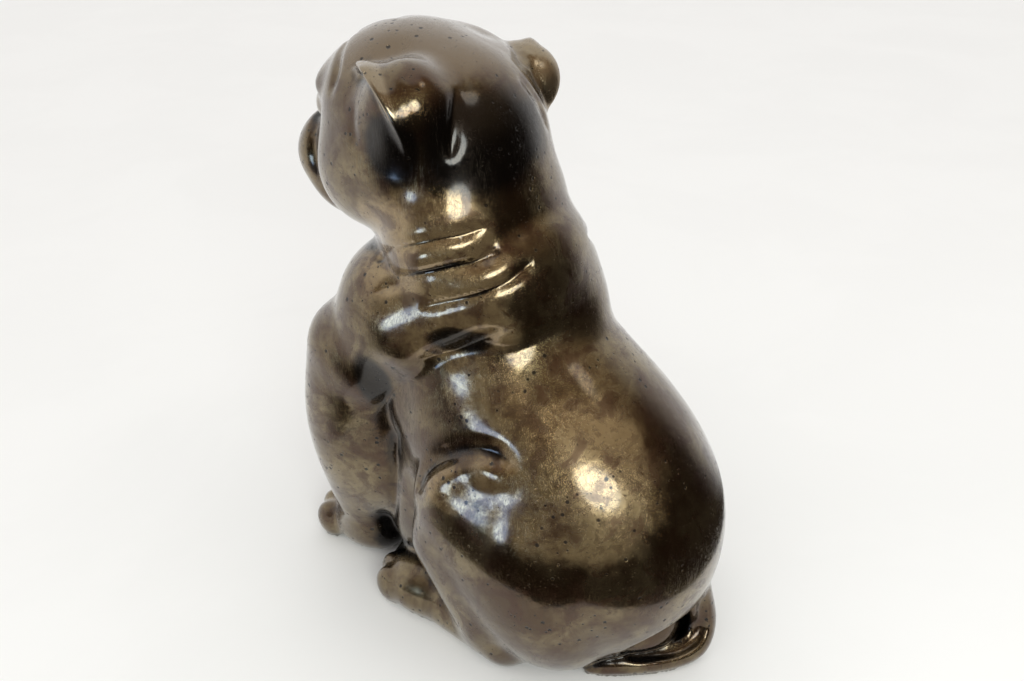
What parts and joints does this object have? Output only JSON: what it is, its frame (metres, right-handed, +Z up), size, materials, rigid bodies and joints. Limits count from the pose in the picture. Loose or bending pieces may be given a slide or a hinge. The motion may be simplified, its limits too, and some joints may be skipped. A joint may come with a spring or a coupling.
{
  "type": "animal figure",
  "caption": "Seated bulldog puppy cast in bronze, head turned a little, folded ears, neck folds and a short curled tail.",
  "frame": {"origin": "centre of the bounding box's underside, on the floor the figure rests on", "axes": "+Z up, the animal faces -Y, the animal's left side is +X"},
  "size_m": [0.172, 0.27, 0.34],
  "materials": {
    "bronze": "cast bronze, polished over a dark brown patina, with casting pits and fine scratches"
  },
  "bodies": {
    "root": {"bulldog_figure": "bronze"}
  },
  "joints": []
}
